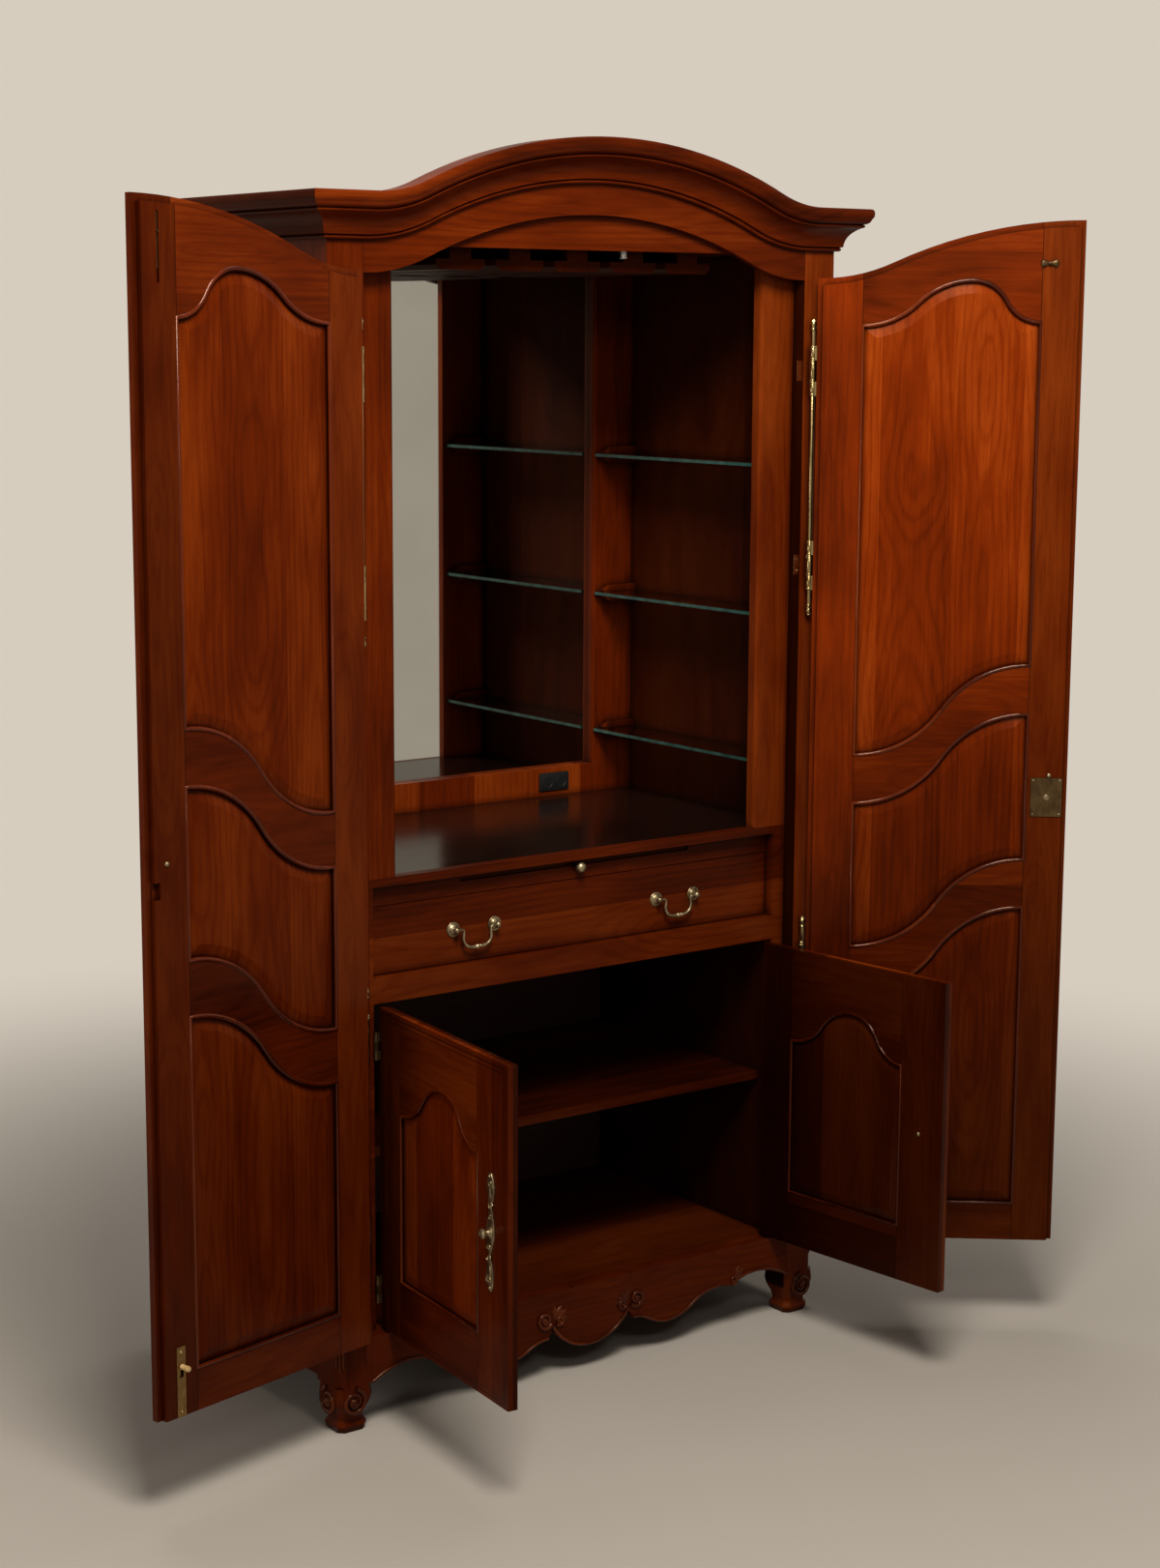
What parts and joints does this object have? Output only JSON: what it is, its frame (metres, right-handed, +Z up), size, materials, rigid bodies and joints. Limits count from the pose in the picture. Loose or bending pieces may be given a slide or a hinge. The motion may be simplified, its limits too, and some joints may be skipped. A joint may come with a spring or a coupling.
{
  "type": "armoire bar cabinet",
  "caption": "Tall armoire fitted as a bar: arched crown, panelled doors on rod hinges, mirrored bar with glass shelves and stemware rack, tray, drawer, inner doors and scroll feet.",
  "frame": {"origin": "on the floor under the middle of the case", "axes": "+X to the right seen from the front, +Y to the back, +Z up"},
  "size_m": [1.8315, 0.9996, 2.218],
  "materials": {
    "cherry_wood": "satin lacquer over figured cherry",
    "inner_wood": "satin lacquer",
    "back_board": "plain sealed board",
    "dark_top": "gloss lacquer, nearly black",
    "polished_brass": "polished",
    "antique_brass": "aged and darkened",
    "bright_metal": "satin",
    "mirror_glass": "silvered",
    "clear_glass": "clear with polished edges",
    "black_plastic": "matt"
  },
  "bodies": {
    "case": {"left_front_post": "cherry_wood", "right_front_post": "cherry_wood", "rear_posts": "cherry_wood", "left_side": "cherry_wood", "right_side": "cherry_wood", "back_panel": "back_board", "frieze_board": "cherry_wood", "crown_front": "cherry_wood", "crown_returns": "cherry_wood", "roof_board": "back_board", "apron": "cherry_wood", "bottom_board": "inner_wood", "left_inner_side": "inner_wood", "right_inner_side": "inner_wood", "post_hinges": "polished_brass", "upper_stiles": "cherry_wood", "ceiling_board": "inner_wood", "arch_valance": "cherry_wood", "stemware_rack": "cherry_wood", "interior_lamp": "bright_metal", "mirror": "mirror_glass", "mirror_frame": "cherry_wood", "power_outlet": "black_plastic", "glass_shelves": "clear_glass", "shelf_holders": "cherry_wood", "work_surface": "dark_top", "drawer_frame": "cherry_wood", "dust_board": "inner_wood", "slide_runners": "inner_wood", "lower_liners": "inner_wood", "lower_shelf": "inner_wood", "shelf_pins": "bright_metal", "small_hinge_leaves": "antique_brass"},
    "left_tall_door": {"left_door_frame": "cherry_wood", "left_door_panels": "cherry_wood", "left_door_hinges": "polished_brass", "left_door_pull": "antique_brass", "bolt_plate": "polished_brass"},
    "right_tall_door": {"right_door_frame": "cherry_wood", "right_door_panels": "cherry_wood", "right_door_hinges": "polished_brass", "right_door_pull": "antique_brass", "lock_case": "antique_brass"},
    "left_small_door": {"left_small_door": "cherry_wood", "left_small_hinges": "antique_brass", "left_small_pull": "antique_brass"},
    "right_small_door": {"right_small_door": "cherry_wood", "right_small_hinges": "antique_brass", "right_small_pull": "antique_brass"},
    "drawer": {"drawer_front": "cherry_wood", "drawer_box": "inner_wood", "drawer_roses": "antique_brass"},
    "left_bail": {"left_bail": "antique_brass"},
    "right_bail": {"right_bail": "antique_brass"},
    "serving_tray": {"serving_tray": "inner_wood", "tray_knob": "antique_brass"},
    "bottom_bolt": {"bottom_bolt": "polished_brass"},
    "top_bolt": {"top_bolt": "polished_brass"},
    "lock_bolt": {"lock_bolt": "polished_brass"}
  },
  "joints": [
    {"name": "left_tall_hinge", "type": "hinge", "parent": "case", "child": "left_tall_door", "pos_m": [-0.489, -0.3008, 0], "axis": [0, 0, -1], "range_deg": [-167, 8]},
    {"name": "right_tall_hinge", "type": "hinge", "parent": "case", "child": "right_tall_door", "pos_m": [0.489, -0.3008, 0], "axis": [0, 0, 1], "range_deg": [-140.5, 34.5]},
    {"name": "left_small_hinge", "type": "hinge", "parent": "case", "child": "left_small_door", "pos_m": [-0.44625, -0.264, 0], "axis": [0, 0, -1], "range_deg": [-95.2, 4.6]},
    {"name": "right_small_hinge", "type": "hinge", "parent": "case", "child": "right_small_door", "pos_m": [0.44625, -0.264, 0], "axis": [0, 0, 1], "range_deg": [-96.5, 23.7]},
    {"name": "drawer_slide", "type": "slide", "parent": "case", "child": "drawer", "axis": [0, -1, 0], "range_m": [0, 0.3]},
    {"name": "tray_slide", "type": "slide", "parent": "case", "child": "serving_tray", "axis": [0, -1, 0], "range_m": [0, 0.28]},
    {"name": "left_bail_swing", "type": "hinge", "parent": "drawer", "child": "left_bail", "pos_m": [-0.226, -0.252, 0.857], "axis": [-1, 0, 0], "range_deg": [0, 80]},
    {"name": "right_bail_swing", "type": "hinge", "parent": "drawer", "child": "right_bail", "pos_m": [0.226, -0.252, 0.857], "axis": [-1, 0, 0], "range_deg": [0, 80]},
    {"name": "bottom_bolt_slide", "type": "slide", "parent": "left_tall_door", "child": "bottom_bolt", "axis": [0, 0, -1], "range_m": [0, 0.014]},
    {"name": "top_bolt_slide", "type": "slide", "parent": "left_tall_door", "child": "top_bolt", "axis": [0, 0, 1], "range_m": [0, 0.014]},
    {"name": "lock_bolt_slide", "type": "slide", "parent": "right_tall_door", "child": "lock_bolt", "axis": [0.7716, -0.6361, 0], "range_m": [0, 0.01]}
  ],
  "couplings": [
    {"joint": "left_small_hinge", "follows": "left_tall_hinge", "ratio": 0.57},
    {"joint": "right_small_hinge", "follows": "right_tall_hinge", "ratio": 0.6868}
  ]
}
